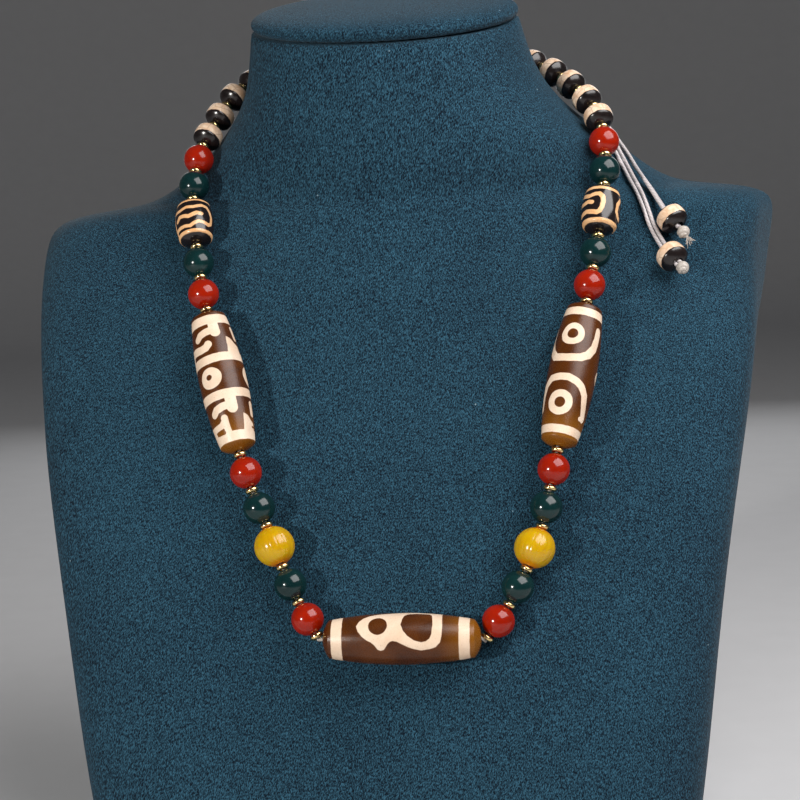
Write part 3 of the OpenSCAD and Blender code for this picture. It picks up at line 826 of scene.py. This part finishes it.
# Middle lines of the two tails in millimetres, from the nape knot; the last two points lie in the bead
tailRoutes = {
    "1": {"twist": 160, "points": [
        (2, 62.3, 204.3), (8, 64.3, 202.8), (17, 64.5, 202.8), (28, 62.7, 203.8), (38.5, 57.3, 203.3),
        (45.3, 51.7, 200.6), (50.4, 45.7, 196.6), (54.6, 40, 192), (58, 34.5, 187), (61, 31, 182),
        (64, 28, 177.8), (66.5, 23, 173.3), (69.3, 16.5, 168.6), (71.3, 12.4, 165), (73, 9.1, 161.8),
        (76.2, 5.1, 157.6)]},
    "2": {"twist": 40, "points": [
        (8.5, 62.5, 205.3), (13.5, 64, 205.8), (20, 63.3, 206), (28.5, 60.3, 205.5), (37, 55.2, 204.2),
        (43.7, 49.8, 201.4), (48.9, 43.9, 197.6), (53.2, 38.1, 193.3), (56.7, 32.3, 188.4), (59, 27.5, 183.5),
        (61, 25.5, 179.5), (63, 23, 175.2), (64.9, 19.3, 170.9), (67.3, 12.4, 165.4), (69.6, 8.8, 158),
        (72.5, 3.6, 152), (75.4, -1.3, 148.6)]},
}
# apart is the gap between a tail's two cords; rings are the places where they are turned round each other
tailCord = {"thick": 1.0, "apart": 0.15, "steps": 8, "rings": 24, "beadLength": 6.6, "pastBead": 0.3}


def smoothLine(points, steps):
    points = [np.array(p, float) for p in points]
    line = []
    for i in range(len(points) - 1):
        a, b = points[max(0, i - 1)], points[i]
        c, d = points[i + 1], points[min(len(points) - 1, i + 2)]
        for k in range(steps):
            t = k / steps
            line.append(0.5 * (2 * b + (c - a) * t + (2 * a - 5 * b + 4 * c - d) * t * t
                               + (3 * b - a - 3 * c + d) * t ** 3))
    return np.array(line + [points[-1]])


def evenPoints(line, count):
    lengths = np.concatenate([[0], np.cumsum(np.linalg.norm(np.diff(line, axis=0), axis=1))])
    at = np.linspace(0, lengths[-1], count)
    return np.stack([np.interp(at, lengths, line[:, k]) for k in range(3)], axis=1), lengths[-1]


def strandPath(route, side):
    points = route["points"]
    start, end = np.array(points[-2], float), np.array(points[-1], float)
    ahead = (end - start) / np.linalg.norm(end - start)
    line = np.vstack([smoothLine(points[:-1], tailCord["steps"]),
                      start + ahead * (tailCord["beadLength"] + tailCord["pastBead"])])
    middles, _ = evenPoints(line, tailCord["rings"])
    out = side * (tailCord["thick"] + tailCord["apart"]) / 2
    path = []
    for k in range(len(middles)):
        along = middles[min(k + 1, len(middles) - 1)] - middles[max(k - 1, 0)]
        along /= np.linalg.norm(along)
        across = np.cross(along, (0, 0, 1))
        across /= np.linalg.norm(across)
        turn = math.radians(route["twist"] * k / (tailCord["rings"] - 1))
        path.append(middles[k] + out * (across * math.cos(turn) + np.cross(along, across) * math.sin(turn)))
    return np.array(path) * mm


def tubeAlong(points, radius, name, smooth=3, sides=4):
    curve = bpy.data.curves.new(name, "CURVE")
    curve.dimensions = "3D"
    curve.bevel_depth = radius
    curve.bevel_resolution = sides
    curve.use_fill_caps = True
    fine = smoothLine(points, smooth) if smooth > 1 else points
    spline = curve.splines.new("POLY")
    spline.points.add(len(fine) - 1)
    for k, p in enumerate(fine):
        spline.points[k].co = (*p, 1)
    holder = bpy.data.objects.new(name, curve)
    bpy.context.scene.collection.objects.link(holder)
    bpy.context.view_layer.update()
    mesh = bpy.data.meshes.new_from_object(holder.evaluated_get(bpy.context.evaluated_depsgraph_get()))
    bpy.data.objects.remove(holder)
    bm = bmesh.new()
    bm.from_mesh(mesh)
    bmesh.ops.remove_doubles(bm, verts=bm.verts, dist=1e-7)
    bmesh.ops.recalc_face_normals(bm, faces=bm.faces)
    bm.to_mesh(mesh)
    bm.free()
    return mesh, fine


cordPieces = {}
for tail, route in tailRoutes.items():
    for letter, side in (("a", 1), ("b", -1)):
        path = strandPath(route, side)
        node = f"tail_cord_{tail}{letter}"
        mesh, fine = tubeAlong(path, tailCord["thick"] / 2 * mm, node)
        cordPieces[node] = (linkPiece(node + "_cord", mesh, silverCord, [node]), fine)
print("stage: tail cords laid")


# ball knot: wraps of cord round a core; the first tail's knot ends in loose fibres
ballKnot = {"thick": 3.4, "wraps": 3, "lean": 0.5, "relief": 0.17, "squash": 0.96, "startTurn": 0.4}
frayedKnot = {"fibres": 22, "length": 2.6, "thick": 0.2, "from": 1.1, "sag": 0.25, "seed": 7}


def knotMesh(middle, axis, startTurn):
    bm = bmesh.new()
    bmesh.ops.create_uvsphere(bm, u_segments=64, v_segments=40, radius=ballKnot["thick"] / 2 * mm)
    for v in bm.verts:
        turn, tilt = math.atan2(v.co.y, v.co.x), math.asin(max(-1, min(1, v.co.z / v.co.length)))
        wave = abs(math.sin(ballKnot["wraps"] * (tilt + ballKnot["lean"] * turn) + startTurn))
        v.co *= (1 - ballKnot["relief"] + ballKnot["relief"] * wave ** 0.5)
        v.co.z *= ballKnot["squash"]
    mesh = bpy.data.meshes.new("knot")
    bm.to_mesh(mesh)
    bm.free()
    uv = mesh.uv_layers.new(name="UVMap")    # one point, so the wraps show as relief and not as plies
    uv.data.foreach_set("uv", np.zeros(len(mesh.loops) * 2))
    turned = axis.to_track_quat("Z", "Y").to_matrix().to_4x4()
    mesh.transform(Matrix.Translation(middle) @ turned)
    return mesh


def frayedFibres(middle, axis):
    rng = np.random.default_rng(frayedKnot["seed"])
    meshes = []
    across = axis.orthogonal().normalized()
    for k in range(frayedKnot["fibres"]):
        turn = Matrix.Rotation(2 * math.pi * k / frayedKnot["fibres"] + rng.uniform(-0.2, 0.2), 3, axis)
        lean = turn @ across
        start = middle + axis * frayedKnot["from"] * mm
        reach = frayedKnot["length"] * mm * rng.uniform(0.6, 1.0)
        spread = rng.uniform(0.1, 0.75)
        sag = Vector((0, 0, -frayedKnot["sag"]))
        points = [start + (axis * t + lean * spread * t * t) * reach + sag * reach * t * t
                  for t in (0, 0.33, 0.66, 1)]
        mesh, _ = tubeAlong(np.array([list(p) for p in points]), frayedKnot["thick"] / 2 * mm, "fibre", 2, 1)
        meshes.append(mesh)
    return meshes


tailBeads, tailKnots = {}, {}
for tail in ("1", "2"):
    beadMiddle = solidsOf(f"tail_bead_{tail}")[0][0]
    low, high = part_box(f"tail_knot_{tail}")
    knotMiddle = (low + high) / 2
    away = (knotMiddle - beadMiddle).normalized()
    tailBeads[tail] = addBead(f"tail_bead_{tail}", tailOutline, tailBead, bandedBlack,
                              -away)
    meshes = [knotMesh(knotMiddle, away, ballKnot["startTurn"] * int(tail))]
    if tail == "1":
        meshes += frayedFibres(knotMiddle, away)
    tailKnots[tail] = linkPiece(f"tail_knot_{tail}_knot", joined(meshes, "knot"), wrapCord,
                                [f"tail_knot_{tail}"])
print("stage: tail beads and knots made")

for node, (piece, fine) in cordPieces.items():
    tail = node[-2]


# nape knot: one cord wound round the thread
napeKnot = {"length": 17.0, "thick": 4.6, "wraps": 10, "perTurn": 24, "filled": 0.97}
low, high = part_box("nape_knot")
middle = (low + high) / 2
co = pointsOf(nodes["nape_knot"].data)
axis = Vector(np.linalg.eigh(np.cov((co - co.mean(0)).T))[1][:, 2])
wrapR = napeKnot["length"] / napeKnot["wraps"] / 2
turnR = napeKnot["thick"] / 2 - wrapR
coil = []
for k in range(napeKnot["wraps"] * napeKnot["perTurn"] + 1):
    t = 2 * math.pi * k / napeKnot["perTurn"]
    z = (k / (napeKnot["wraps"] * napeKnot["perTurn"]) - 0.5) * (napeKnot["length"] - 2 * wrapR)
    coil.append((turnR * math.cos(t) * mm, turnR * math.sin(t) * mm, z * mm))
coilMesh, _ = tubeAlong(np.array(coil), wrapR * napeKnot["filled"] * mm, "coil", 1, 5)
coilMesh.transform(Matrix.Translation(middle) @ axis.to_track_quat("Z", "Y").to_matrix().to_4x4())
linkPiece("nape_knot_wraps", coilMesh, wrapCord, ["nape_knot"])

for slot in nodes["thread"].material_slots:    # the thread stays a plain node and takes the cord's finish
    slot.material = wrapCord
print("stage: nape knot wound")


# floor and light

floorShape = {"inner": 0.6, "flat": 1.5, "bend": 0.8, "bendSteps": 8, "height": 2.2, "turns": 96,    # metres
              "light": (0.60, 0.60, 0.61, 1), "dark": (0.56, 0.56, 0.57, 1)}


def makeBackdrop(shape):
    # a round floor that curves up into a wall on all sides
    material, tree, shader = newMaterial("paleFloor", {"Roughness": 0.85, "Specular IOR Level": 0.2})
    where = put(tree, "ShaderNodeTexCoord").outputs["Object"]
    grain = put(tree, "ShaderNodeTexNoise", None, {"Scale": 60, "Detail": 4})
    wire(tree, where, grain.inputs["Vector"])
    colour = blendColours(tree, grain.outputs[0], shape["dark"], shape["light"])
    wire(tree, colour, shader.inputs["Base Color"])
    bm = bmesh.new()
    outline = [(0, 0), (shape["inner"], 0), (shape["flat"], 0)]
    for k in range(1, shape["bendSteps"] + 1):
        t = math.pi / 2 * k / shape["bendSteps"]
        outline.append((shape["flat"] + shape["bend"] * math.sin(t), shape["bend"] * (1 - math.cos(t))))
    outline.append((shape["flat"] + shape["bend"], shape["height"]))
    verts = [bm.verts.new((r, 0, z)) for r, z in outline]
    edges = [bm.edges.new(pair) for pair in zip(verts[:-1], verts[1:])]
    bmesh.ops.spin(bm, geom=verts + edges, cent=(0, 0, 0), axis=(0, 0, 1), angle=2 * math.pi,
                   steps=shape["turns"], use_merge=True)
    bmesh.ops.remove_doubles(bm, verts=bm.verts, dist=1e-5)
    bmesh.ops.recalc_face_normals(bm, faces=bm.faces)
    mesh = bpy.data.meshes.new("floor")
    bm.to_mesh(mesh)
    bm.free()
    mesh.materials.append(material)
    mesh.polygons.foreach_set("use_smooth", [True] * len(mesh.polygons))
    floor = bpy.data.objects.new("floor", mesh)
    bpy.context.scene.collection.objects.link(floor)


# where each light stands is given as the camera sees it: to the right, up, and towards the camera
lights = {
    "smallKey": {"from": (-0.66, 0.02, 0.76), "distance": 0.9, "size": (0.045, 0.045), "power": 6.0,
                 "colour": (1.0, 0.97, 0.92)},
    "softBox": {"from": (0.52, 0.7, 0.48), "distance": 0.46, "size": (0.48, 0.4), "power": 3.8,
                "colour": (1.0, 0.98, 0.97)},
    "backFill": {"from": (0.1, 0.5, -1.0), "distance": 0.8, "size": (0.7, 0.5), "power": 1.3,
                 "colour": (0.98, 0.99, 1.0)},
}
lightAim = (0.0, -0.02, 0.125)
roomLight = {"colour": (0.9, 0.94, 1.0, 1), "strength": 0.07}


def lightPlace(direction, distance):
    x, y, z = direction
    way = (cameraRight * x + cameraUp * y + cameraBack * z).normalized()
    return Vector(lightAim) + way * distance


def makeLights():
    for name, plan in lights.items():
        data = bpy.data.lights.new(name, "AREA")
        data.shape = "RECTANGLE"
        data.size, data.size_y = plan["size"]
        data.energy = plan["power"]
        data.color = plan["colour"]
        lamp = bpy.data.objects.new(name, data)
        bpy.context.scene.collection.objects.link(lamp)
        place = lightPlace(plan["from"], plan["distance"])
        turned = (place - Vector(lightAim)).to_track_quat("Z", "Y").to_matrix().to_4x4()
        lamp.matrix_world = Matrix.Translation(place) @ turned
    world = bpy.data.worlds.new("studio")
    world.use_nodes = True
    background = world.node_tree.nodes["Background"]
    background.inputs["Color"].default_value = roomLight["colour"]
    background.inputs["Strength"].default_value = roomLight["strength"]
    bpy.context.scene.world = world
    bpy.context.scene.view_settings.view_transform = "Standard"


makeBackdrop(floorShape)
makeLights()
print("stage: floor and light set")
